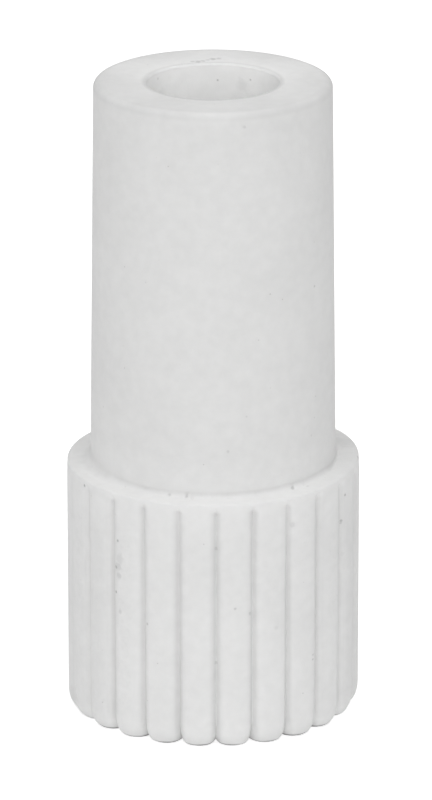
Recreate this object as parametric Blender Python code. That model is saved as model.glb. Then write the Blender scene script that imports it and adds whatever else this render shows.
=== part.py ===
"""Heavy-duty nylon wall anchor for an M10 bolt, standing on its ribbed end.

A smooth barrel is pressed into a ribbed collar. The bolt goes in at the barrel's mouth and
screws into a brass cone nut, which is keyed inside the collar and held in by a ring at the
nose. Tightening the bolt draws the nut up its pocket, until its cone wedges in the collar.

Sizes are in millimetres and become metres in the meshes. +Z runs from the nose to the mouth,
and the origin is on the axis, in the plane of the nose.
"""

import math

import bmesh
import bpy
from mathutils import Matrix, Vector

# Driving dimensions.
TOTAL_LENGTH = 52.8
COLLAR_HEIGHT = 20.8
COLLAR_RADIUS = 12.0
BARREL_FOOT_RADIUS = 9.94
BARREL_MOUTH_RADIUS = 9.62
BORE_MOUTH_RADIUS = 5.4
BORE_FOOT_RADIUS = 5.25
THREAD_MINOR_RADIUS = 4.25
NUT_TRAVEL = 4.0
FIT_GAP = 0.3

# Ribs round the collar.
RIB_COUNT = 24
RIB_PITCH = math.tau / RIB_COUNT
RIB_PHASE = math.radians(1.2)
FLUTE_DEPTH = 0.5
FLUTE_SHARPNESS = 4
FLUTE_RUN_OUT = 0.7
DOME_DEPTH = 0.5
STEPS_PER_RIB = 6

# Rounded and chamfered edges.
MOUTH_RIM_RADIUS = 1.0
BORE_LIP_RADIUS = 0.2
SHOULDER_EDGE = 0.3
SEAM_CHAMFER = 0.45
SMALL_CHAMFER = 0.4
NOSE_ROUND_OUT = 0.8
NOSE_ROUND_UP = 1.05

# Inside of the collar, from the nose upwards.
RING_SEAT_RADIUS = 9.0
RING_SEAT_DEPTH = 1.8
RING_INNER_RADIUS = 6.9
RING_RECESS = 0.3
SPIGOT_LENGTH = 6.0

# Cone nut.
NUT_GUIDE_RADIUS = 8.0
NUT_TIP_RADIUS = 5.9
NUT_GUIDE_HEIGHT = 2.5
NUT_HEIGHT = 8.4
KEY_COUNT = 4
KEY_PHASE = RIB_PHASE + 3 * RIB_PITCH
KEY_WIDTH = 2.0
KEY_OUTER_RADIUS = 9.2
KEY_INSET = 0.1

ROUND_STEPS = 72
ARC_STEPS = 4
CUT_OVERRUN = 1.0
MERGE_DISTANCE = 0.001
MM = 0.001


def clear_scene():
    for thing in list(bpy.data.objects):
        bpy.data.objects.remove(thing, do_unlink=True)


def make_material(name, colour, roughness, metallic):
    finish = bpy.data.materials.new(name)
    finish.use_nodes = True
    shader = finish.node_tree.nodes["Principled BSDF"]
    shader.inputs["Base Color"].default_value = (*colour, 1.0)
    shader.inputs["Roughness"].default_value = roughness
    shader.inputs["Metallic"].default_value = metallic
    return finish


def add_object(name, mesh_builder, finish=None):
    """Turn a bmesh in millimetres into a smooth-shaded object in metres."""
    bmesh.ops.recalc_face_normals(mesh_builder, faces=mesh_builder.faces)
    bmesh.ops.scale(mesh_builder, vec=(MM, MM, MM), verts=mesh_builder.verts)
    mesh = bpy.data.meshes.new(name)
    mesh_builder.to_mesh(mesh)
    mesh_builder.free()
    mesh.shade_smooth()
    mesh.set_sharp_from_angle(angle=math.radians(30))
    if finish:
        mesh.materials.append(finish)
    thing = bpy.data.objects.new(name, mesh)
    bpy.context.scene.collection.objects.link(thing)
    return thing


def arc(centre_r, centre_z, radius_r, radius_z, start, end):
    """Points (r, z) on a quarter turn of an ellipse, from one angle to another in degrees."""
    points = []
    for step in range(ARC_STEPS + 1):
        angle = math.radians(start + (end - start) * step / ARC_STEPS)
        r = centre_r + radius_r * math.cos(angle)
        z = centre_z + radius_z * math.sin(angle)
        points.append((r, z))
    return points


def turned(outline):
    """Spin an outline of (r, z) points about the Z axis. It is a ring, or starts and ends on the axis."""
    mesh_builder = bmesh.new()
    corners = [mesh_builder.verts.new((r, 0.0, z)) for r, z in outline]
    edges = [mesh_builder.edges.new(pair) for pair in zip(corners, corners[1:])]
    if outline[0][0] > 0.0:
        edges.append(mesh_builder.edges.new((corners[-1], corners[0])))
    bmesh.ops.spin(
        mesh_builder,
        geom=corners + edges,
        cent=(0.0, 0.0, 0.0),
        axis=(0.0, 0.0, 1.0),
        angle=math.tau,
        steps=ROUND_STEPS,
        use_merge=True,
    )
    bmesh.ops.remove_doubles(mesh_builder, verts=mesh_builder.verts, dist=MERGE_DISTANCE)
    return mesh_builder


def make_cutter(name, mesh_builder):
    cutter = add_object(name, mesh_builder)
    cutter.hide_render = True
    cutter.display_type = "WIRE"
    return cutter


def add_boolean(thing, other, operation):
    modifier = thing.modifiers.new(other.name, "BOOLEAN")
    modifier.operation = operation
    modifier.solver = "EXACT"
    modifier.object = other


def spokes(inner_radius, outer_radius, width, low_z, high_z):
    """Blocks that stand out from the axis at each key's angle."""
    mesh_builder = bmesh.new()
    size = Vector((outer_radius - inner_radius, width, high_z - low_z))
    middle = Vector(((inner_radius + outer_radius) / 2, 0.0, (low_z + high_z) / 2))
    for index in range(KEY_COUNT):
        turn = Matrix.Rotation(KEY_PHASE + index * math.tau / KEY_COUNT, 4, "Z")
        place = turn @ Matrix.Translation(middle) @ Matrix.Diagonal((*size, 1.0))
        bmesh.ops.create_cube(mesh_builder, size=1.0, matrix=place)
    return mesh_builder


def make_barrel(nylon):
    """Smooth tube, slightly drafted inside and out, with a rounded mouth and a spigot at its foot."""
    step_z = COLLAR_HEIGHT + FIT_GAP
    spigot_radius = BARREL_FOOT_RADIUS - FIT_GAP
    spigot_z = COLLAR_HEIGHT - SPIGOT_LENGTH
    lip_radius = BORE_MOUTH_RADIUS + BORE_LIP_RADIUS
    lip_z = TOTAL_LENGTH - BORE_LIP_RADIUS
    rim_radius = BARREL_MOUTH_RADIUS - MOUTH_RIM_RADIUS
    rim_z = TOTAL_LENGTH - MOUTH_RIM_RADIUS
    outline = [
        (BORE_FOOT_RADIUS, spigot_z),
        (spigot_radius - SMALL_CHAMFER, spigot_z),
        (spigot_radius, spigot_z + SMALL_CHAMFER),
        (spigot_radius, step_z),
        (BARREL_FOOT_RADIUS, step_z),
    ]
    outline += arc(rim_radius, rim_z, MOUTH_RIM_RADIUS, MOUTH_RIM_RADIUS, 0, 90)
    outline += arc(lip_radius, lip_z, BORE_LIP_RADIUS, BORE_LIP_RADIUS, 90, 180)
    return add_object("smooth_barrel", turned(outline), nylon)


def rib_ring(mesh_builder, radius, depth, z):
    """One level of the collar's outside, with flutes of the given depth."""
    corners = []
    for step in range(RIB_COUNT * STEPS_PER_RIB):
        share = (step % STEPS_PER_RIB) / STEPS_PER_RIB
        angle = RIB_PHASE + step * RIB_PITCH / STEPS_PER_RIB
        r = radius - depth * abs(math.cos(math.pi * share)) ** FLUTE_SHARPNESS
        corners.append(mesh_builder.verts.new((r * math.cos(angle), r * math.sin(angle), z)))
    return corners


def ribbed_blank():
    """Solid collar: ribs with domed ends at the nose, and flutes that run out below the shoulder."""
    flute_top = COLLAR_HEIGHT - SHOULDER_EDGE - FLUTE_RUN_OUT
    nose_radius = COLLAR_RADIUS - NOSE_ROUND_OUT
    nose_round = arc(nose_radius, NOSE_ROUND_UP, NOSE_ROUND_OUT, NOSE_ROUND_UP, -90, 0)
    levels = []
    for r, z in nose_round:
        dome = DOME_DEPTH * (COLLAR_RADIUS - r) / NOSE_ROUND_OUT
        levels.append((r, FLUTE_DEPTH + dome, z))
    levels += [
        (COLLAR_RADIUS, FLUTE_DEPTH, flute_top),
        (COLLAR_RADIUS, 0.0, flute_top + FLUTE_RUN_OUT),
        (COLLAR_RADIUS - SHOULDER_EDGE, 0.0, COLLAR_HEIGHT),
    ]
    mesh_builder = bmesh.new()
    rings = [rib_ring(mesh_builder, *level) for level in levels]
    for lower, upper in zip(rings, rings[1:]):
        for index in range(len(lower)):
            following = (index + 1) % len(lower)
            mesh_builder.faces.new((lower[index], lower[following], upper[following], upper[index]))
    mesh_builder.faces.new(reversed(rings[0]))
    mesh_builder.faces.new(rings[-1])
    return mesh_builder


def collar_pocket():
    """Outline of the space inside the collar, from below the nose to above the shoulder."""
    slope = (NUT_GUIDE_RADIUS - NUT_TIP_RADIUS) / (NUT_HEIGHT - NUT_GUIDE_HEIGHT)
    side_gap = FIT_GAP * math.hypot(1.0, slope)
    pocket_radius = NUT_GUIDE_RADIUS + FIT_GAP
    cone_foot_z = RING_SEAT_DEPTH + NUT_TRAVEL + NUT_GUIDE_HEIGHT
    cone_start_z = cone_foot_z + (side_gap - FIT_GAP) / slope
    ledge_z = COLLAR_HEIGHT - SPIGOT_LENGTH - FIT_GAP
    ledge_radius = pocket_radius - (ledge_z - cone_start_z) * slope
    seam_z = COLLAR_HEIGHT - SEAM_CHAMFER
    outline = [
        (0.0, -CUT_OVERRUN),
        (RING_SEAT_RADIUS, -CUT_OVERRUN),
        (RING_SEAT_RADIUS, RING_SEAT_DEPTH),
        (pocket_radius, RING_SEAT_DEPTH),
        (pocket_radius, cone_start_z),
        (ledge_radius, ledge_z),
        (BARREL_FOOT_RADIUS, ledge_z),
        (BARREL_FOOT_RADIUS, seam_z),
        (BARREL_FOOT_RADIUS + SEAM_CHAMFER + CUT_OVERRUN, COLLAR_HEIGHT + CUT_OVERRUN),
        (0.0, COLLAR_HEIGHT + CUT_OVERRUN),
    ]
    return outline


def make_collar(nylon):
    """Ribbed collar with a spigot socket above, and a tapered, slotted nut pocket below."""
    collar = add_object("ribbed_collar", ribbed_blank(), nylon)
    core = make_cutter("core_cutter", turned(collar_pocket()))
    add_boolean(collar, core, "DIFFERENCE")
    slot_top = RING_SEAT_DEPTH + NUT_TRAVEL + NUT_GUIDE_HEIGHT + FIT_GAP
    slot_radius = KEY_OUTER_RADIUS + FIT_GAP
    slot_width = KEY_WIDTH + 2 * FIT_GAP
    slots = spokes(NUT_TIP_RADIUS, slot_radius, slot_width, -CUT_OVERRUN, slot_top)
    add_boolean(collar, make_cutter("slot_cutter", slots), "DIFFERENCE")
    return collar


def make_ring(nylon):
    """Ring pressed into the nose, which keeps the nut from dropping out."""
    outer = RING_SEAT_RADIUS - FIT_GAP
    top_z = RING_SEAT_DEPTH - FIT_GAP
    outline = [
        (RING_INNER_RADIUS, RING_RECESS + SMALL_CHAMFER),
        (RING_INNER_RADIUS + SMALL_CHAMFER, RING_RECESS),
        (outer - SMALL_CHAMFER, RING_RECESS),
        (outer, RING_RECESS + SMALL_CHAMFER),
        (outer, top_z),
        (RING_INNER_RADIUS, top_z),
    ]
    return add_object("retaining_ring", turned(outline), nylon)


def make_nut(brass):
    """Cone nut with keys. Its origin is on the joint's axis, at the nut's lower face."""
    mouth_radius = THREAD_MINOR_RADIUS + SMALL_CHAMFER
    outline = [
        (mouth_radius, 0.0),
        (NUT_GUIDE_RADIUS, 0.0),
        (NUT_GUIDE_RADIUS, NUT_GUIDE_HEIGHT),
        (NUT_TIP_RADIUS, NUT_HEIGHT),
        (mouth_radius, NUT_HEIGHT),
        (THREAD_MINOR_RADIUS, NUT_HEIGHT - SMALL_CHAMFER),
        (THREAD_MINOR_RADIUS, SMALL_CHAMFER),
    ]
    nut = add_object("cone_nut", turned(outline), brass)
    key_top = NUT_GUIDE_HEIGHT - KEY_INSET
    keys = spokes(NUT_TIP_RADIUS, KEY_OUTER_RADIUS, KEY_WIDTH, KEY_INSET, key_top)
    key_blocks = make_cutter("key_blocks", keys)
    add_boolean(nut, key_blocks, "UNION")
    key_blocks.parent = nut
    nut.location.z = RING_SEAT_DEPTH * MM
    return nut


def main():
    clear_scene()
    white_nylon = make_material("white_nylon", (0.78, 0.78, 0.77), 0.6, 0.0)
    ring_nylon = make_material("ring_nylon", (0.72, 0.72, 0.70), 0.5, 0.0)
    nut_brass = make_material("nut_brass", (0.70, 0.53, 0.28), 0.3, 1.0)
    make_barrel(white_nylon)
    make_collar(white_nylon)
    make_ring(ring_nylon)
    make_nut(nut_brass)


main()
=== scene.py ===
"""Looks of a nylon wall anchor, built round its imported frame.

The frame gives the anchor's overall sizes. The script stands a finely modelled piece in for each
of its four plain solids: the barrel, the ribbed collar, the retaining ring and the threaded cone
nut. Outlines are in millimetres, as (radius, height above the nose), until a mesh is made.
Azimuths are in degrees from the front, -Y, towards +X.
"""

import math

import bmesh
import bpy
import numpy as np
from mathutils import Matrix, Vector


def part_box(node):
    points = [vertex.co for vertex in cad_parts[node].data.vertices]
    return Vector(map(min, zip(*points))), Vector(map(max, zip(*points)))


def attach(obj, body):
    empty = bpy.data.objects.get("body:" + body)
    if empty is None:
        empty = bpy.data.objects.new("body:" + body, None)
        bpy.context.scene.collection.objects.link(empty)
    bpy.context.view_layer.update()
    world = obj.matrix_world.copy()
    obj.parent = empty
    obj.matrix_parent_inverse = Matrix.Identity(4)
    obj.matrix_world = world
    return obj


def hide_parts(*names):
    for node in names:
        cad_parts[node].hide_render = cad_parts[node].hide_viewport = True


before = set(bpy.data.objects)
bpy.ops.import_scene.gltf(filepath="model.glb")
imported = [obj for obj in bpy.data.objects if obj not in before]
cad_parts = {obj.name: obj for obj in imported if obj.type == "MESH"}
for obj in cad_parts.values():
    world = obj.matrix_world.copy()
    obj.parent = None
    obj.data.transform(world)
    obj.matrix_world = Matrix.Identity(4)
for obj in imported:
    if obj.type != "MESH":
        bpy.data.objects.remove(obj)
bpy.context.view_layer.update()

MM = 0.001

# Sizes taken from the frame, in millimetres.
barrel_low, barrel_high = [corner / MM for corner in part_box("smooth_barrel")]
collar_low, collar_high = [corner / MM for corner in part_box("ribbed_collar")]
ring_low, ring_high = [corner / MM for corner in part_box("retaining_ring")]
nut_low, nut_high = [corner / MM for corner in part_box("cone_nut")]
LENGTH = barrel_high.z
SHOULDER = collar_high.z
COLLAR_RADIUS = (collar_high.x - collar_low.x) / 2
BARREL_RADIUS = (barrel_high.x - barrel_low.x) / 2
RING_RADIUS = (ring_high.x - ring_low.x) / 2

# Barrel. It swells a little towards the foot, by the draft of its mould, and is straight there. Its
# mouth is slightly dished, and its spigot is stepped in just below the shoulder.
FOOT_RADIUS = BARREL_RADIUS + 0.06
FOOT_HEIGHT = 1.0
MOUTH_RADIUS = 9.62
RIM_ROUND = 0.55
DISH_RADIUS = 7.2
DISH_DEPTH = 0.09
BORE_MOUTH_RADIUS = 5.3
BORE_FOOT_RADIUS = 5.25
LIP_ROUND = 0.22
SPIGOT_RADIUS = FOOT_RADIUS - 0.12
STEP_LOW = SHOULDER - 0.55
STEP_HIGH = SHOULDER - 0.45
STEP_ROUND = 0.03

# Collar. Flutes part its ribs and fade out below a plain rim. Corner sizes are the rounding that a
# rib's end has at its flutes, beyond the rounding at its crest.
RIB_COUNT = 24
RIB_RADIUS = COLLAR_RADIUS - 0.02
RIB_PHASE = math.radians(1.2)
FLUTE_DEPTH = 0.68
FLUTE_POWER = 7.0
LOBE_SHARE = 0.18
FLUTE_SOFTNESS = 0.07
FLUTE_END = 0.05
FLUTE_RUN_OUT = 0.85
FLUTE_SHALLOWING = 0.2
RIM_INSET = 0.08
NOSE_ROUND_OUT = 0.6
NOSE_ROUND_UP = 1.05
CORNER_OUT = 1.15
CORNER_UP = 1.2
SHOULDER_ROUND = 0.18

# The collar isn't quite true. Its rim rises towards the back, its nose is rounded off more at the
# sides and some flutes are nearly filled: azimuth and half width in degrees, then the rise in
# millimetres, the growth of the rounding or the share of the depth that is lost.
RIM_SWELLS = [(108, 52, 0.44), (-112, 42, 0.13)]
NOSE_WEAR = [(84, 32, 0.6), (-82, 30, 0.12)]
FILLED_FLUTES = [(-74, 7, 0.9), (-59, 5, 0.45)]

# Seam between barrel and collar. The socket's edge turns up to meet the barrel in a fillet, wide on
# the left and tight on the right, and clears it by a hair. Swells of its width, and dips and nicks
# in it: azimuth and half width in degrees, then millimetres.
SEAM_FILLET = 0.45
SEAM_GAP = 0.002
SEAM_SWELLS = [(-78, 24, 0.42), (84, 16, -0.25)]
SEAM_DIPS = [(82, 9, 0.12)]
SEAM_NICKS = [(-20, 0.8, 0.05), (-12, 0.7, 0.08), (-9.5, 0.5, 0.05), (39, 1.0, 0.08), (46, 0.7, 0.05)]

# Inside of the collar: the ledge under the spigot, the tapered pocket that the nut slides in, the
# seat of the retaining ring, and the slots for the nut's keys.
LEDGE = 14.5
POCKET_RADIUS = 8.3
POCKET_TOP_RADIUS = 6.11
CONE_START = 8.35
SEAT_RADIUS = 9.0
SEAT_HEIGHT = 1.8
SLOT_RADIUS = 9.5
SLOT_WIDTH = 2.6
SLOT_TOP = 8.6
INNER_CHAMFER = 0.1
SOLE_CHAMFER = 0.15

# Retaining ring.
RING_INNER_RADIUS = 6.9
RING_NOTCHES = 3
RING_NOTCH_WIDTH = 1.6
RING_NOTCH_DEPTH = 0.45

# Cone nut, with an M10 x 1.5 thread. The thread's flat and flank are shares of half a turn.
THREAD_MAJOR_RADIUS = 5.0
THREAD_MINOR_RADIUS = 4.25
THREAD_PITCH = 1.5
THREAD_FLAT = 0.25
THREAD_FLANK = 0.625
NUT_MOUTH_RADIUS = THREAD_MAJOR_RADIUS + 0.2
GUIDE_RADIUS = 8.0
GUIDE_HEIGHT = 2.5
TIP_RADIUS = 5.9
KEY_COUNT = 4
KEY_WIDTH = 2.0
KEY_RADIUS = 9.2
KEY_INSET = 0.1
KEY_BEVEL = 0.12
KEY_PHASE = RIB_PHASE + 3 * math.tau / RIB_COUNT

# Fineness of the meshes, and how far a cutting block reaches past what it cuts.
ROUND_STEPS = 192
ROUND_ANGLES = np.arange(ROUND_STEPS) * math.tau / ROUND_STEPS
ARC_STEPS = 7
STEPS_PER_HALF_RIB = 13
STEPS_PER_THREAD = 16
SHARP_ANGLE = math.radians(40)
CUT_PAST = 1.0

# Painted shade on the mouth's rounded edges, which tones down the light that they catch: radius, reach
# and lightness.
SHADED_EDGES = [(MOUTH_RADIUS, 0.8, 0.94), (BORE_MOUTH_RADIUS + 0.1, 0.5, 0.85)]

# Tone of the dirt and of the painted shade on the mouldings, and how strong their layers are.
DIRT_AND_SHADE_TONE = 0.22
PIT_DIRT = 0.5
FINE_PIT_DIRT = 0.3
SEAM_DARKENING = 0.08
FLUTE_SHADE = 0.1
FLANK_SHADE = 0.08

# Marks on the mouldings, with a few patches of painted shade and shadow: azimuth, radius, height, size
# and strength.
BARREL_SPOTS = [
    (15, 9.6, 51.6, 0.22, 0.16),
    (7, 9.9, 24.7, 0.2, 0.18),
    (196, 5.9, 52.75, 0.34, 0.26),
    (192, 5.85, 52.72, 0.4, 0.32),
    (188, 5.95, 52.75, 0.34, 0.26),
    (184, 6.15, 52.78, 0.3, 0.2),
    (180, 6.35, 52.8, 0.38, 0.34),
    (176, 6.45, 52.8, 0.3, 0.24),
    (176, 5.34, 51.3, 0.12, 0.45),
    (145, 5.34, 51.6, 0.12, 0.4),
    (237, 5.34, 52.1, 0.14, 0.2),
    # Two broad, faint patches of painted shade on the bore's far wall, to the left and the right.
    (153, 5.3, 51.0, 0.7, 0.1),
    (232, 5.3, 50.6, 0.7, 0.09),
]
COLLAR_SPOTS = [
    (-39.0, 11.95, 15.3, 0.6, 0.13),
    (-40.2, 11.9, 14.7, 0.5, 0.18),
    (-40.9, 11.9, 14.55, 0.2, 0.45),
    (-39.4, 11.93, 13.9, 0.4, 0.2),
    (-41.2, 11.88, 12.4, 0.2, 0.55),
    (-38.9, 11.95, 10.8, 0.28, 0.18),
    (-74.0, 11.4, 1.2, 1.6, 0.1),
    (-41.7, 11.86, 19.0, 0.2, 0.12),
    (-26.7, 11.85, 10.25, 0.15, 0.3),
    (1.2, 11.45, 17.0, 0.25, 0.25),
    (1.2, 11.4, 7.2, 0.25, 0.25),
    (8.5, 12.0, 12.0, 0.18, 0.25),
    (14.5, 11.7, 11.4, 0.25, 0.25),
    (25.1, 11.97, 10.0, 0.25, 0.08),
    (29.0, 11.6, 3.75, 0.25, 0.2),
    (32.8, 11.75, 18.5, 0.38, 0.14),
    (42.8, 11.94, 6.9, 0.14, 0.3),
    (42.8, 11.94, 6.5, 0.14, 0.3),
    (62.3, 11.7, 17.25, 0.18, 0.4),
    (62.3, 11.7, 17.05, 0.15, 0.3),
    (63.0, 11.75, 14.35, 0.35, 0.12),
    (86, 11.95, 21.1, 0.2, 0.5),
    (-20, 10.2, 20.95, 0.2, 0.22),
    (-12, 10.2, 20.95, 0.22, 0.3),
    (-9, 10.3, 20.9, 0.16, 0.16),
    (39, 10.2, 20.95, 0.24, 0.3),
    (46, 10.6, 20.85, 0.2, 0.2),
    (128, 11.6, 20.9, 0.35, 0.25),
    # A broad patch of painted shadow, cast by the barrel on the shoulder at the back right.
    (104, 11.0, 21.1, 1.6, 0.09),
    (-90, 10.7, 20.9, 0.5, 0.04),
    (-82, 10.7, 20.9, 0.6, 0.05),
    (-73, 10.6, 20.9, 0.6, 0.05),
    (-64, 10.45, 20.9, 0.5, 0.05),
]
# Broad, faint patches up the left and the right side.
COLLAR_SPOTS += [(-51, 11.9, height, 4.0, 0.05) for height in (5, 10, 15)]
COLLAR_SPOTS += [(70, 11.9, height, 3.5, 0.05) for height in (5, 10, 15)]

# Camera, with its distance and the height of its view at the anchor in millimetres.
CAMERA_ELEVATION = 18.6
CAMERA_DISTANCE = 550.0
VIEW_HEIGHT = 65.15
SENSOR = 36.0
AIM = Vector((0.24, 0.0, LENGTH / 2 - 0.66))

# Light: a dim white sky, a faintly glowing floor and soft boxes, given by azimuth, elevation and
# power in watts.
SKY_STRENGTH = 0.35
FLOOR_GLOW = 0.24
FLOOR_WHITE = 0.7
FLOOR_RADIUS = 3000.0
FLOOR_DROP = 0.02
SOFT_BOX_SIZE = 700.0
SOFT_BOX_DISTANCE = 900.0
SOFT_BOXES = [
    ("front_light", 0, 8, 1.8),
    ("zenith_light", 0, 82, 3.75),
    ("left_light", -75, 30, 0.22),
]

# Narrow lamps, given by azimuth and power in watts. Each lights a small circle on the bore's far wall,
# a little below its mouth.
BORE_LIGHTS = [
    ("left_bore_light", -60, 2.4),
    ("right_bore_light", 60, 2.7),
    ("front_bore_light", 0, 2.7),
]
BORE_LIGHT_RADIUS = 3.1
BORE_LIGHT_DISTANCE = 500.0
BORE_LIGHT_ELEVATION = 22
BORE_LIGHT_DEPTH = 1.6
BORE_LIGHT_BLEND = 0.8
BORE_LAMP_SIZE = 1.6


# Meshes

def unit(vector):
    return vector / np.linalg.norm(vector)


def fillet(before, corner, after, radius):
    """Points on the arc that rounds a corner of an outline."""
    corner = np.array(corner, float)
    back = unit(np.array(before, float) - corner)
    ahead = unit(np.array(after, float) - corner)
    half = math.acos(np.clip(back @ ahead, -1, 1)) / 2
    reach = radius / math.tan(half)
    centre = corner + unit(back + ahead) * radius / math.sin(half)
    start = corner + back * reach - centre
    end = corner + ahead * reach - centre
    sweep = math.pi - 2 * half
    points = []
    for share in np.linspace(0, 1, ARC_STEPS):
        arm = math.sin((1 - share) * sweep) * start + math.sin(share * sweep) * end
        points.append(tuple(centre + arm / math.sin(sweep)))
    return points


def rounded(corners):
    """Closed outline from (radius, height) corners. A third number is the corner's own rounding."""
    outline = []
    for index, corner in enumerate(corners):
        before = corners[index - 1][:2]
        after = corners[(index + 1) % len(corners)][:2]
        if len(corner) == 3:
            outline += fillet(before, corner[:2], after, corner[2])
        else:
            outline.append(corner)
    return outline


def spaced(outline, longest):
    """The closed outline with points added so that no side is longer than this."""
    points = []
    for here, following in zip(outline, outline[1:] + outline[:1]):
        parts = max(1, math.ceil(math.dist(here, following) / longest))
        for part in range(parts):
            share = part / parts
            points.append(tuple(a + (b - a) * share for a, b in zip(here, following)))
    return points


def smooth(mesh):
    """Shade the mesh smooth, apart from its sharp edges."""
    mesh.shade_smooth()
    mesh.set_sharp_from_angle(angle=SHARP_ANGLE)


def finished(name, mesh):
    """An object in the scene from a mesh, with its faces outward and its round parts smooth."""
    builder = bmesh.new()
    builder.from_mesh(mesh)
    bmesh.ops.recalc_face_normals(builder, faces=builder.faces)
    builder.to_mesh(mesh)
    builder.free()
    smooth(mesh)
    piece = bpy.data.objects.new(name, mesh)
    bpy.context.scene.collection.objects.link(piece)
    return piece


def ring_piece(name, levels, angle):
    """A ring-shaped piece from the levels of its closed outline.

    Each level is a radius and a height in millimetres, either of which may vary with the angle.
    """
    radius = np.array([np.broadcast_to(r, angle.shape) for r, _ in levels])
    height = np.array([np.broadcast_to(z, angle.shape) for _, z in levels])
    points = np.stack([radius * np.cos(angle), radius * np.sin(angle), height], axis=-1) * MM
    index = np.arange(radius.size).reshape(radius.shape)
    level_on = np.roll(index, -1, axis=0)
    sides = [index, np.roll(index, -1, axis=1), np.roll(level_on, -1, axis=1), level_on]
    faces = np.stack(sides, axis=-1).reshape(-1, 4)
    mesh = bpy.data.meshes.new(name)
    mesh.from_pydata(points.reshape(-1, 3).tolist(), [], faces.tolist())
    return finished(name, mesh)


def spokes(inner, outer, width, low, high, phase, count, bevel=0.0):
    """Blocks standing out from the axis, as one mesh object to cut or join with."""
    builder = bmesh.new()
    for number in range(count):
        turn = Matrix.Rotation(phase + number * math.tau / count, 4, "Z")
        middle = Matrix.Translation(Vector(((inner + outer) / 2, 0, (low + high) / 2)) * MM)
        size = Matrix.Diagonal((*(Vector((outer - inner, width, high - low)) * MM), 1.0))
        bmesh.ops.create_cube(builder, size=1.0, matrix=turn @ middle @ size)
    if bevel:
        bmesh.ops.bevel(
            builder, geom=builder.edges, offset=bevel * MM, segments=3, profile=0.5, affect="EDGES"
        )
    mesh = bpy.data.meshes.new("blocks")
    builder.to_mesh(mesh)
    builder.free()
    return finished("blocks", mesh)


def combined(piece, other, operation):
    """The piece with the other object cut away or joined on, and the other object removed."""
    modifier = piece.modifiers.new("combine", "BOOLEAN")
    modifier.operation = operation
    modifier.solver = "EXACT"
    modifier.object = other
    graph = bpy.context.evaluated_depsgraph_get()
    mesh = bpy.data.meshes.new_from_object(piece.evaluated_get(graph))
    piece.modifiers.clear()
    piece.data = mesh
    bpy.data.objects.remove(other)
    smooth(mesh)
    return piece


def around(azimuth):
    """An azimuth from the front as a mesh angle in radians."""
    return math.radians(azimuth - 90)


def bell(angle, azimuth, half_width):
    """1 at the azimuth, falling smoothly to 0 round it."""
    away = (np.degrees(angle - around(azimuth)) + 180) % 360 - 180
    return np.exp(-((away / half_width) ** 2))


def bells(angle, places):
    """Sum of bells from (azimuth, half width, height) places."""
    return sum(height * bell(angle, azimuth, half_width) for azimuth, half_width, height in places)


# Pieces

def make_barrel():
    corners = [
        (BORE_FOOT_RADIUS, barrel_low.z, 0.3),
        (SPIGOT_RADIUS, barrel_low.z, 0.4),
        (SPIGOT_RADIUS, STEP_LOW, STEP_ROUND),
        (FOOT_RADIUS, STEP_HIGH, STEP_ROUND),
        (FOOT_RADIUS, SHOULDER + FOOT_HEIGHT),
        (MOUTH_RADIUS, LENGTH, RIM_ROUND),
        (DISH_RADIUS, LENGTH),
        (BORE_MOUTH_RADIUS, LENGTH - DISH_DEPTH, LIP_ROUND),
    ]
    return ring_piece("nylon_barrel", spaced(rounded(corners), 0.9), ROUND_ANGLES)


def rib_steps():
    """Angles round the collar, closest together in the flutes, and each one's place on its rib.

    The place is 0 in a flute and 1 on a crest.
    """
    place = np.linspace(0, 1, STEPS_PER_HALF_RIB + 1) ** 1.5
    share = np.concatenate([place[:-1] / 2, 1 - place[:0:-1] / 2])
    ribs = np.arange(RIB_COUNT)[:, None] + share
    angle = RIB_PHASE + ribs.ravel() * math.tau / RIB_COUNT
    return angle, np.tile(2 * np.minimum(share, 1 - share), RIB_COUNT)


def flute_shape(place):
    """Part of the flute's depth at each place: 1 in the flute, 0 on the crest.

    The rib is a shallow lobe, cut off steeply by the flutes.
    """
    top = math.hypot(1, FLUTE_SOFTNESS) - FLUTE_SOFTNESS
    soft = (np.hypot(place, FLUTE_SOFTNESS) - FLUTE_SOFTNESS) / top
    return LOBE_SHARE * (1 - place) ** 2 + (1 - LOBE_SHARE) * (1 - soft) ** FLUTE_POWER


def corner_shape(place):
    """Part of the corner's extra rounding at each place: 1 in the flute, 0 on the crest.

    It lies halfway between a parabola and a quarter of a circle.
    """
    from_crest = 1 - place
    return (from_crest ** 2 + 1 - np.sqrt(1 - from_crest ** 2)) / 2


def rib_levels(angle, place, top):
    """Levels up the outside of the collar, from its sole to the rounding of its rim."""
    unfilled = 1 - bells(angle, FILLED_FLUTES)
    flute = flute_shape(place) * unfilled
    corner = corner_shape(place) * unfilled
    wear = 1 + bells(angle, NOSE_WEAR)
    round_out = NOSE_ROUND_OUT * wear + CORNER_OUT * corner
    round_up = NOSE_ROUND_UP * wear + CORNER_UP * corner
    levels = []
    for turn in np.linspace(0, math.pi / 2, 12):
        inset = round_out * (1 - math.sin(turn)) + FLUTE_DEPTH * flute
        levels.append((RIB_RADIUS - inset, round_up * (1 - math.cos(turn))))
    fade_start = top - FLUTE_END - FLUTE_RUN_OUT
    for share in np.linspace(0, 1, 14)[1:]:
        depth = FLUTE_DEPTH * (1 - FLUTE_SHALLOWING * share)
        levels.append((RIB_RADIUS - depth * flute, round_up + (fade_start - round_up) * share))
    end_depth = FLUTE_DEPTH * (1 - FLUTE_SHALLOWING)
    for share in np.linspace(0, 1, 12)[1:]:
        left_over = (1 + math.cos(math.pi * share)) / 2
        radius = RIB_RADIUS - RIM_INSET * share - end_depth * flute * left_over
        levels.append((radius, fade_start + (top - SHOULDER_ROUND - fade_start) * share))
    return levels


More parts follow.
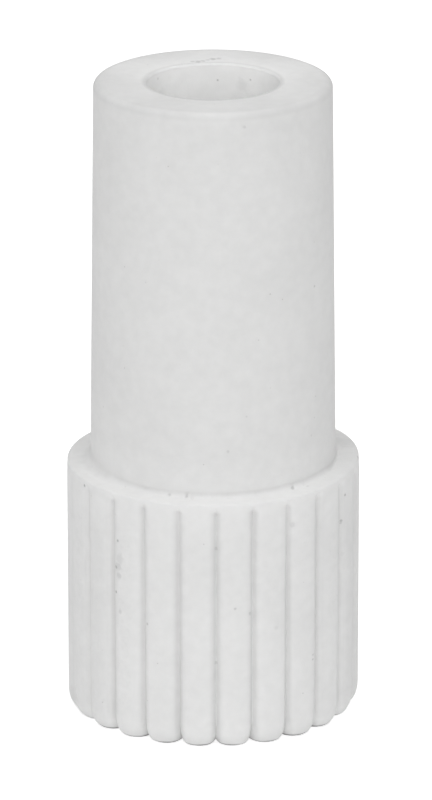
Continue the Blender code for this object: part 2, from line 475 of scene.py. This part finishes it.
def shoulder_levels(angle, top):
    """Levels over the rim, in across the shoulder and up the fillet against the barrel."""
    fillet_size = SEAM_FILLET + bells(angle, SEAM_SWELLS)
    dip = bells(angle, SEAM_DIPS)
    bite = bells(angle, SEAM_NICKS)
    levels = []
    for turn in np.linspace(0, math.pi / 2, 7)[1:]:
        inset = RIM_INSET + SHOULDER_ROUND * (1 - math.cos(turn))
        levels.append((RIB_RADIUS - inset, top - SHOULDER_ROUND * (1 - math.sin(turn))))
    for reach, fall in [(1.4, 0.0), (1.2, 0.2), (1.05, 0.7)]:
        levels.append((FOOT_RADIUS + fillet_size * reach + bite, top - dip * fall))
    for turn in np.linspace(0, math.pi / 2, 8):
        radius = FOOT_RADIUS + SEAM_GAP + bite + fillet_size * (1 - math.sin(turn))
        levels.append((radius, top - dip + fillet_size * (1 - math.cos(turn)) - 2 * bite))
    return levels


def make_collar():
    angle, place = rib_steps()
    top = SHOULDER + bells(angle, RIM_SWELLS)
    inside = [
        (FOOT_RADIUS + 0.005, SHOULDER - 0.36),
        (FOOT_RADIUS, LEDGE + INNER_CHAMFER),
        (FOOT_RADIUS - INNER_CHAMFER, LEDGE),
        (POCKET_TOP_RADIUS + INNER_CHAMFER, LEDGE),
        (POCKET_TOP_RADIUS, LEDGE - INNER_CHAMFER),
        (POCKET_RADIUS, CONE_START),
        (POCKET_RADIUS, SEAT_HEIGHT + INNER_CHAMFER),
        (POCKET_RADIUS + INNER_CHAMFER, SEAT_HEIGHT),
        (SEAT_RADIUS, SEAT_HEIGHT),
        (SEAT_RADIUS, SOLE_CHAMFER),
        (SEAT_RADIUS + SOLE_CHAMFER, 0.0),
    ]
    levels = rib_levels(angle, place, top) + shoulder_levels(angle, top) + inside
    collar = ring_piece("ribbed_nylon_collar", levels, angle)
    slots = spokes(TIP_RADIUS, SLOT_RADIUS, SLOT_WIDTH, -CUT_PAST, SLOT_TOP, KEY_PHASE, KEY_COUNT)
    return combined(collar, slots, "DIFFERENCE")


def make_ring():
    corners = [
        (RING_INNER_RADIUS, ring_low.z, 0.35),
        (RING_RADIUS, ring_low.z, 0.3),
        (RING_RADIUS, ring_high.z, 0.15),
        (RING_INNER_RADIUS, ring_high.z, 0.15),
    ]
    ring = ring_piece("nylon_retaining_ring", spaced(rounded(corners), 0.5), ROUND_ANGLES)
    notches = spokes(
        RING_INNER_RADIUS - CUT_PAST,
        RING_INNER_RADIUS + RING_NOTCH_DEPTH,
        RING_NOTCH_WIDTH,
        ring_low.z - CUT_PAST,
        ring_high.z + CUT_PAST,
        math.pi / 2,
        RING_NOTCHES,
    )
    return combined(ring, notches, "DIFFERENCE")


def thread_radius(angle, height):
    """Radius of the nut's right-hand internal thread at an angle and a height."""
    turn = (height / THREAD_PITCH - angle / math.tau) % 1.0
    from_crest = 2 * np.minimum(turn, 1 - turn)
    flank = np.clip((from_crest - THREAD_FLAT) / THREAD_FLANK, 0, 1)
    return THREAD_MINOR_RADIUS + (THREAD_MAJOR_RADIUS - THREAD_MINOR_RADIUS) * flank


def make_nut():
    low = nut_low.z
    high = nut_high.z
    mouth_high = (NUT_MOUTH_RADIUS, high)
    corners = [
        (NUT_MOUTH_RADIUS, low),
        (GUIDE_RADIUS, low, 0.25),
        (GUIDE_RADIUS, low + GUIDE_HEIGHT, 0.15),
        (TIP_RADIUS, high, 0.2),
        mouth_high,
    ]
    outside = spaced(rounded(corners), 0.35)
    levels = outside[:outside.index(mouth_high) + 1]
    steps = STEPS_PER_THREAD * round((high - low) / THREAD_PITCH)
    for height in np.linspace(high, low, steps)[1:-1]:
        chamfer = NUT_MOUTH_RADIUS - min(high - height, height - low)
        levels.append((np.maximum(thread_radius(ROUND_ANGLES, height), chamfer), height))
    nut = ring_piece("brass_cone_nut", levels, ROUND_ANGLES)
    keys = spokes(
        TIP_RADIUS,
        KEY_RADIUS,
        KEY_WIDTH,
        low + KEY_INSET,
        low + GUIDE_HEIGHT - KEY_INSET,
        KEY_PHASE,
        KEY_COUNT,
        KEY_BEVEL,
    )
    return combined(nut, keys, "UNION")


# Materials

class Shader:
    """A material's node tree, with short calls to add nodes."""

    def __init__(self, name):
        self.material = bpy.data.materials.new(name)
        self.material.use_nodes = True
        self.tree = self.material.node_tree
        self.principled = self.tree.nodes["Principled BSDF"]

    def node(self, kind, inputs=None, **settings):
        """A new node. Inputs are given by name or number, as a value or as another socket."""
        made = self.tree.nodes.new("ShaderNode" + kind)
        for key, value in settings.items():
            setattr(made, key, value)
        for key, value in (inputs or {}).items():
            self.feed(made.inputs[key], value)
        return made

    def feed(self, socket, value):
        if isinstance(value, bpy.types.NodeSocket):
            self.tree.links.new(value, socket)
        else:
            socket.default_value = value

    def set(self, **inputs):
        """Feed the Principled shader. An underscore in a name stands for a space."""
        for key, value in inputs.items():
            self.feed(self.principled.inputs[key.replace("_", " ")], value)

    def place(self):
        """The point on the surface in millimetres, which moves with the piece."""
        coordinates = self.node("TexCoord").outputs["Object"]
        return self.scaled(coordinates, 1 / MM)

    def scaled(self, vector, scale):
        inputs = {0: vector, "Scale": scale}
        return self.node("VectorMath", inputs, operation="SCALE").outputs["Vector"]

    def sideways(self, place):
        return self.node("SeparateXYZ", {0: place}).outputs[0]

    def height(self, place):
        return self.node("SeparateXYZ", {0: place}).outputs[2]

    def radius(self, place):
        parts = self.node("SeparateXYZ", {0: place}).outputs
        flat = self.node("CombineXYZ", {0: parts[0], 1: parts[1]}).outputs[0]
        return self.node("VectorMath", {0: flat}, operation="LENGTH").outputs["Value"]

    def noise(self, place, scale, detail=2.0):
        made = self.node("TexNoise", {"Vector": place, "Scale": scale, "Detail": detail})
        return made.outputs[0]

    def ramp(self, value, low, high, to_low, to_high):
        """The value's range from low to high, spread over another range and clamped to it."""
        inputs = {"Value": value, 1: low, 2: high, 3: to_low, 4: to_high}
        return self.node("MapRange", inputs).outputs[0]

    def math(self, operation, first, *others):
        """The first value taken together with each of the others in turn."""
        result = first
        for other in others:
            result = self.node("Math", {0: result, 1: other}, operation=operation).outputs[0]
        return result

    def away(self, value, centre):
        """How far the value is from a centre, on either side."""
        offset = self.math("SUBTRACT", value, centre)
        return self.node("Math", {0: offset}, operation="ABSOLUTE").outputs[0]

    def mix(self, share, first, second):
        made = self.node("Mix", {"Factor": share, 6: first, 7: second}, data_type="RGBA")
        return made.outputs[2]

    def bump(self, height, distance, strength, under=None):
        inputs = {"Height": height, "Distance": distance * MM, "Strength": strength}
        if under:
            inputs["Normal"] = under
        return self.node("Bump", inputs).outputs["Normal"]


def grey(value):
    return (value, value, value, 1.0)


def spot_mask(shader, place, spots):
    """The strength of each listed spot in its middle, fading to 0 at its edge."""
    wobble = shader.ramp(shader.noise(place, 3.0), 0.3, 0.7, 0.7, 1.4)
    masks = []
    for azimuth, radius, height, size, strength in spots:
        turn = around(azimuth)
        centre = (radius * math.cos(turn), radius * math.sin(turn), height)
        away = shader.node("VectorMath", {0: place, 1: centre}, operation="DISTANCE").outputs["Value"]
        ragged = shader.math("MULTIPLY", away, wobble)
        masks.append(shader.ramp(ragged, size, size * 0.4, 0.0, strength))
    return shader.math("MAXIMUM", *masks)


def fleck_mask(shader, place, spacing, size, share):
    """Small round flecks scattered at random over the piece."""
    cells = shader.node("TexVoronoi", {"Vector": place, "Scale": 1 / spacing})
    chosen = shader.node("SeparateColor", {0: cells.outputs["Color"]}).outputs[0]
    near = shader.ramp(cells.outputs["Distance"], size / spacing, 0.3 * size / spacing, 0.0, 1.0)
    picked = shader.math("LESS_THAN", chosen, share)
    return shader.math("MULTIPLY", near, picked)


def edge_shade(shader, place, edge_radius, reach, lowest):
    """Painted shade on the mouth near one of its edges, which tones down the light that it catches."""
    out = shader.away(shader.radius(place), edge_radius)
    down = shader.away(shader.height(place), LENGTH)
    return shader.ramp(shader.math("ADD", out, down), reach, reach * 0.4, 1.0, lowest)


def seam_mask(shader, place):
    """Broken dark line along the crease where the barrel enters the collar."""
    off_height = shader.away(shader.height(place), SHOULDER + 0.15)
    off_radius = shader.away(shader.radius(place), FOOT_RADIUS + 0.15)
    line = shader.ramp(shader.math("MAXIMUM", off_height, off_radius), 0.35, 0.1, 0.0, 1.0)
    breaks = shader.ramp(shader.noise(place, 0.7, 3.0), 0.55, 0.72, 0.0, SEAM_DARKENING)
    return shader.math("MULTIPLY", line, breaks)


def outside_mask(shader, place):
    """1 on the outside of the collar, 0 inside it."""
    return shader.math("GREATER_THAN", shader.radius(place), SEAT_RADIUS + 0.3)


def flute_shade_mask(shader, place):
    """Painted shade deep in the flutes, and on the flanks of the ribs at the anchor's sides."""
    radius = shader.radius(place)
    height = shader.height(place)
    deep = shader.ramp(radius, RIB_RADIUS - 0.08, RIB_RADIUS - 0.4, 0.0, FLUTE_SHADE)
    flank = shader.ramp(radius, RIB_RADIUS - 0.01, RIB_RADIUS - 0.1, 0.0, 1.0)
    at_sides = shader.ramp(shader.away(shader.sideways(place), 0.0), 5.5, 8.5, 0.0, FLANK_SHADE)
    painted_shade = shader.math("MAXIMUM", deep, shader.math("MULTIPLY", flank, at_sides))
    below_rim = shader.ramp(height, SHOULDER - 0.15, SHOULDER - 0.7, 0.0, 1.0)
    above_nose = shader.ramp(height, 0.6, 1.6, 0.0, 1.0)
    return shader.math("MULTIPLY", painted_shade, below_rim, above_nose, outside_mask(shader, place))


def sole_shade_mask(shader, place):
    """Painted shade on the bottom of the ribs, darker towards the nose, with a dark, patchy line of
    painted contact shadow round the sole's edge.
    """
    height = shader.height(place)
    patchy = shader.ramp(shader.noise(place, 0.3, 2.0), 0.42, 0.58, 0.4, 0.95)
    off_floor = shader.ramp(height, 0.02, 0.07, 0.12, 1.0)
    edge = shader.math("MULTIPLY", off_floor, shader.ramp(height, 0.3, 0.13, 0.0, 1.0), patchy)
    shaded_bottom = shader.math("MAXIMUM", edge, shader.ramp(height, 1.0, 0.1, 0.0, 0.16))
    return shader.math("MULTIPLY", shaded_bottom, outside_mask(shader, place))


def make_nylon(name, base, spots, seam_light_gain):
    """Matt white moulded nylon: cloudy tone, fine grain, scattered pits and a few marks, with painted
    light near the seam and painted shade on some edges and hollows.
    """
    shader = Shader(name)
    place = shader.place()
    cloud = shader.ramp(shader.noise(place, 0.16, 3.0), 0.3, 0.7, 0.975, 1.012)
    mottle = shader.ramp(shader.noise(place, 1.1, 4.0), 0.3, 0.7, 0.975, 1.015)
    # Painted light: the tone rises towards the seam by the gain given, lifting the shade in the crease
    # between barrel and collar.
    from_seam = shader.away(shader.height(place), SHOULDER)
    painted_seam_light = shader.ramp(from_seam, 3.5, 0.0, 1.0, seam_light_gain)
    # Painted shade on the mouth's rim and lip.
    edges = [edge_shade(shader, place, *edge) for edge in SHADED_EDGES]
    tone = shader.math("MULTIPLY", cloud, mottle, painted_seam_light, *edges)
    pits = fleck_mask(shader, place, spacing=2.6, size=0.17, share=0.16)
    fine_pits = fleck_mask(shader, place, spacing=0.9, size=0.07, share=0.2)
    dirt_and_shade = shader.math(
        "MAXIMUM",
        shader.math("MULTIPLY", pits, PIT_DIRT),
        shader.math("MULTIPLY", fine_pits, FINE_PIT_DIRT),
    )
    # Marks, a dark line in the seam, and painted shade in the flutes and round the sole.
    if spots:
        dirt_and_shade = shader.math(
            "MAXIMUM",
            dirt_and_shade,
            spot_mask(shader, place, spots),
            seam_mask(shader, place),
            flute_shade_mask(shader, place),
            sole_shade_mask(shader, place),
        )
    grain = shader.noise(place, 5.5, 3.0)
    swell = shader.noise(place, 0.9, 2.0)
    normal = shader.bump(grain, 0.05, 0.35)
    normal = shader.bump(swell, 0.10, 0.25, normal)
    hollow = shader.math("SUBTRACT", 1.0, shader.math("MAXIMUM", pits, fine_pits))
    normal = shader.bump(hollow, 0.12, 0.5, normal)
    shader.set(
        Base_Color=shader.mix(dirt_and_shade, shader.scaled(base, tone), grey(DIRT_AND_SHADE_TONE)),
        Roughness=shader.ramp(grain, 0.3, 0.7, 0.52, 0.68),
        IOR=1.53,
        Subsurface_Weight=0.1,
        Subsurface_Radius=(1.0, 1.0, 1.0),
        Subsurface_Scale=0.4 * MM,
        Normal=normal,
    )
    return shader.material


def make_brass():
    """Turned brass with fine lathe lines and a little tarnish."""
    shader = Shader("turned_brass")
    place = shader.place()
    rings = shader.node("CombineXYZ", {0: shader.radius(place), 1: shader.height(place)}).outputs[0]
    lines = shader.noise(rings, 9.0, 2.0)
    tarnish = shader.ramp(shader.noise(place, 0.5, 4.0), 0.45, 0.75, 0.0, 0.55)
    shader.set(
        Base_Color=shader.mix(tarnish, (0.72, 0.54, 0.27, 1.0), (0.40, 0.26, 0.12, 1.0)),
        Metallic=1.0,
        Roughness=shader.ramp(lines, 0.3, 0.7, 0.24, 0.42),
        Normal=shader.bump(lines, 0.03, 0.5),
    )
    return shader.material


def make_floor_material():
    """Pale studio floor, which looks whiter than the light that it throws back.

    Seen from below it lets the view through to the anchor's nose.
    """
    shader = Shader("pale_floor")
    seen = shader.node("LightPath").outputs["Is Camera Ray"]
    shader.set(
        Base_Color=grey(0.8),
        Roughness=0.9,
        Emission_Color=grey(1.0),
        Emission_Strength=shader.ramp(seen, 0.0, 1.0, FLOOR_GLOW, FLOOR_WHITE),
    )
    backing = shader.node("NewGeometry").outputs["Backfacing"]
    clear = shader.node("BsdfTransparent").outputs[0]
    solid = shader.principled.outputs[0]
    both = shader.node("MixShader", {0: backing, 1: solid, 2: clear}).outputs[0]
    shader.feed(shader.tree.nodes["Material Output"].inputs["Surface"], both)
    return shader.material


def dress(piece, material, body, node):
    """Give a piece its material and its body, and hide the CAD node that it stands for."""
    piece.data.materials.clear()
    piece.data.materials.append(material)
    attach(piece, body)
    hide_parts(node)


# Stage

def direction(azimuth, elevation):
    """Unit vector from the anchor towards an azimuth and elevation in degrees."""
    turn = around(azimuth)
    rise = math.radians(elevation)
    return Vector((math.cos(turn) * math.cos(rise), math.sin(turn) * math.cos(rise), math.sin(rise)))


def stand_off(name, data, azimuth, elevation, distance, target):
    """A camera or lamp at a distance from a target point in millimetres, turned to face it."""
    stood = bpy.data.objects.new(name, data)
    bpy.context.scene.collection.objects.link(stood)
    out = direction(azimuth, elevation)
    stood.location = (target + out * distance) * MM
    stood.rotation_euler = out.to_track_quat("Z", "Y").to_euler()
    return stood


def make_camera():
    lens = bpy.data.cameras.new("camera")
    lens.sensor_width = SENSOR
    lens.lens = SENSOR * CAMERA_DISTANCE / VIEW_HEIGHT
    lens.clip_start = 0.05
    lens.clip_end = 20.0
    bpy.context.scene.camera = stand_off("camera", lens, 0, CAMERA_ELEVATION, CAMERA_DISTANCE, AIM)


def make_lights():
    middle = Vector((0.0, 0.0, LENGTH / 2))
    for name, azimuth, elevation, power in SOFT_BOXES:
        lamp = bpy.data.lights.new(name, "AREA")
        lamp.shape = "SQUARE"
        lamp.size = SOFT_BOX_SIZE * MM
        lamp.energy = power
        stand_off(name, lamp, azimuth, elevation, SOFT_BOX_DISTANCE, middle)
    high_in_bore = Vector((0.0, 0.0, LENGTH - BORE_LIGHT_DEPTH))
    for name, azimuth, power in BORE_LIGHTS:
        lamp = bpy.data.lights.new(name, "SPOT")
        lamp.energy = power
        lamp.spot_size = 2 * math.atan(BORE_LIGHT_RADIUS / BORE_LIGHT_DISTANCE)
        lamp.spot_blend = BORE_LIGHT_BLEND
        lamp.shadow_soft_size = BORE_LAMP_SIZE * MM
        far_wall = direction(azimuth + 180, 0) * BORE_MOUTH_RADIUS + high_in_bore
        stand_off(name, lamp, azimuth, BORE_LIGHT_ELEVATION, BORE_LIGHT_DISTANCE, far_wall)


def make_stage():
    bpy.ops.mesh.primitive_circle_add(vertices=96, radius=FLOOR_RADIUS * MM, fill_type="NGON")
    floor = bpy.context.object
    floor.name = "floor"
    floor.location.z = -FLOOR_DROP * MM
    floor.data.materials.append(make_floor_material())
    world = bpy.data.worlds.new("studio")
    world.use_nodes = True
    sky = world.node_tree.nodes["Background"]
    sky.inputs["Color"].default_value = grey(1.0)
    sky.inputs["Strength"].default_value = SKY_STRENGTH
    bpy.context.scene.world = world
    make_lights()
    bpy.context.scene.view_settings.view_transform = "Standard"


def main():
    barrel_nylon = make_nylon("barrel_nylon", (0.89, 0.89, 0.885), BARREL_SPOTS, 1.08)
    collar_nylon = make_nylon("collar_nylon", (0.925, 0.925, 0.92), COLLAR_SPOTS, 1.04)
    ring_nylon = make_nylon("ring_nylon", (0.72, 0.72, 0.70), [], 1.0)
    dress(make_barrel(), barrel_nylon, "anchor_body", "smooth_barrel")
    dress(make_collar(), collar_nylon, "anchor_body", "ribbed_collar")
    dress(make_ring(), ring_nylon, "anchor_body", "retaining_ring")
    dress(make_nut(), make_brass(), "draw_nut", "cone_nut")
    make_stage()
    make_camera()


main()
